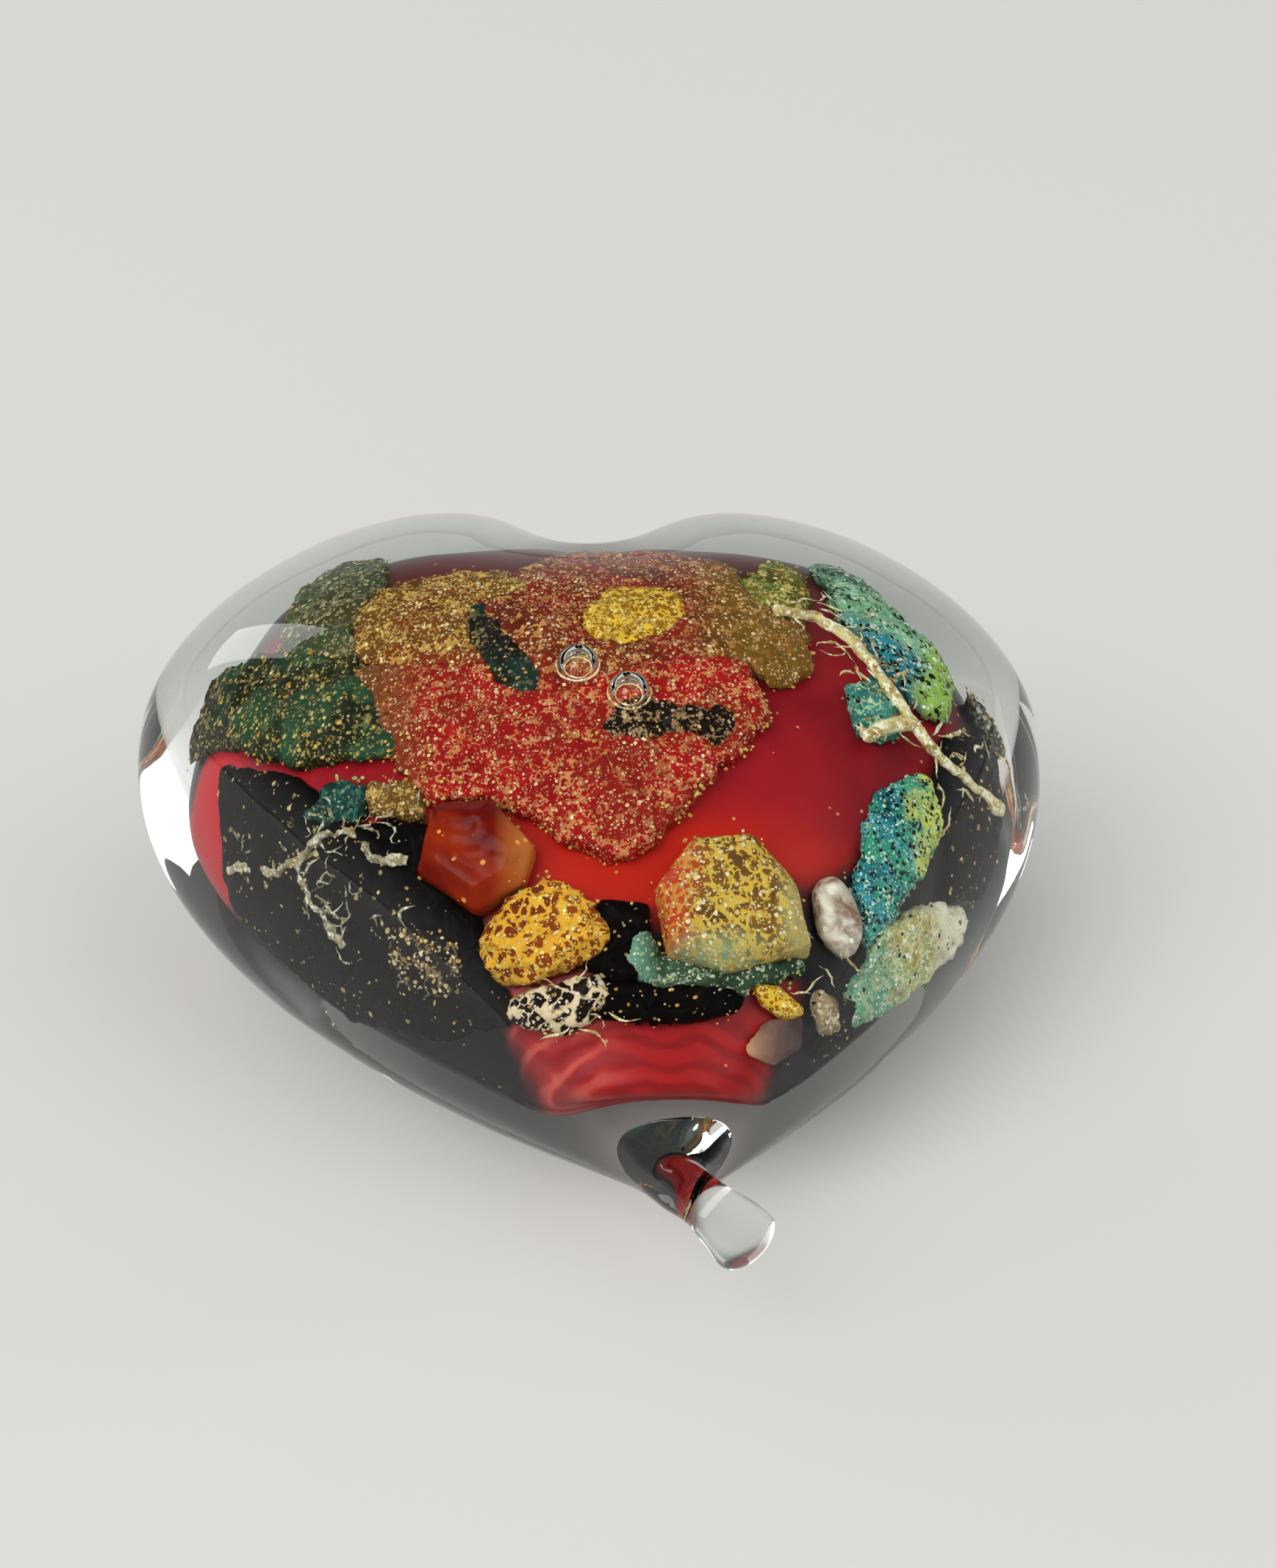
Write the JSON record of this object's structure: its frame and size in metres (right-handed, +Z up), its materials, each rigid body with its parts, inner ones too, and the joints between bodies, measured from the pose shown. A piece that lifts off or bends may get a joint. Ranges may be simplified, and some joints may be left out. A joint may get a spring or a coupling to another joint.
{
  "type": "glass heart paperweight",
  "caption": "Clear glass heart over a red core with foil shards, glass chips and gold threads; flat ground foot to rest on papers and a short pulled tail at the point.",
  "frame": {"origin": "middle of the ground foot, on the surface that the heart rests on", "axes": "+Z up through the dome, +Y from the point back towards the lobes, +X to the right as seen from the point"},
  "size_m": [0.0898, 0.0934, 0.045],
  "materials": {
    "clear_glass": "fire-polished, clear",
    "ruby_glass": "opaque red, glossy",
    "amber_glass": "translucent amber with gold grains",
    "opal_glass": "milky, glossy",
    "black_glass": "opaque black with sparse gold dust",
    "gold_foil": "crackled gold film on glass",
    "sunflower_foil": "crackled yellow-gold film on glass",
    "copper_foil": "crackled copper film on glass",
    "ember_foil": "red glass thick with gold grains",
    "moss_foil": "crackled dark green film on glass",
    "sage_foil": "crackled grey-green film on glass",
    "teal_foil": "crackled teal film on glass",
    "mint_foil": "crackled mint film on glass",
    "lime_foil": "crackled green-gold film on glass",
    "cream_foil": "cream-gold film, lacy"
  },
  "bodies": {
    "root": {"clear_casing": "clear_glass", "pontil_plug": "clear_glass", "ruby_core": "ruby_glass", "amber_glass_chip": "amber_glass", "amber_nugget": "sunflower_foil", "cream_cluster": "cream_foil", "speckle_cluster_left": "gold_foil", "gold_green_chunk_front": "lime_foil", "opal_chip_front_right": "opal_glass", "clear_chip_front": "opal_glass", "yellow_sliver_front": "sunflower_foil", "cream_sliver_front": "cream_foil", "black_flake_centre": "black_glass", "dark_flake_left": "moss_foil", "sunflower_sheet": "sunflower_foil", "teal_chip_left": "teal_foil", "gold_chip_left": "sunflower_foil", "green_ribbon_front": "mint_foil", "gold_sheet_left": "gold_foil", "copper_sheet_rear": "copper_foil", "ember_sheet_centre": "ember_foil", "sage_shard_rear_left": "sage_foil", "moss_shard_left": "moss_foil", "lime_shard_rear_right": "lime_foil", "mint_shard_rear_right": "mint_foil", "teal_patch_right": "teal_foil", "teal_shard_right": "teal_foil", "green_gold_shard_right": "lime_foil", "black_shard_right": "black_glass", "gold_dust_sliver_right": "cream_foil", "black_shard_front": "black_glass", "black_chip_front": "black_glass", "black_shard_front_right": "black_glass", "black_shard_front_left": "black_glass", "gold_vein_right": "cream_foil", "gold_wisp_left": "cream_foil"}
  },
  "joints": []
}
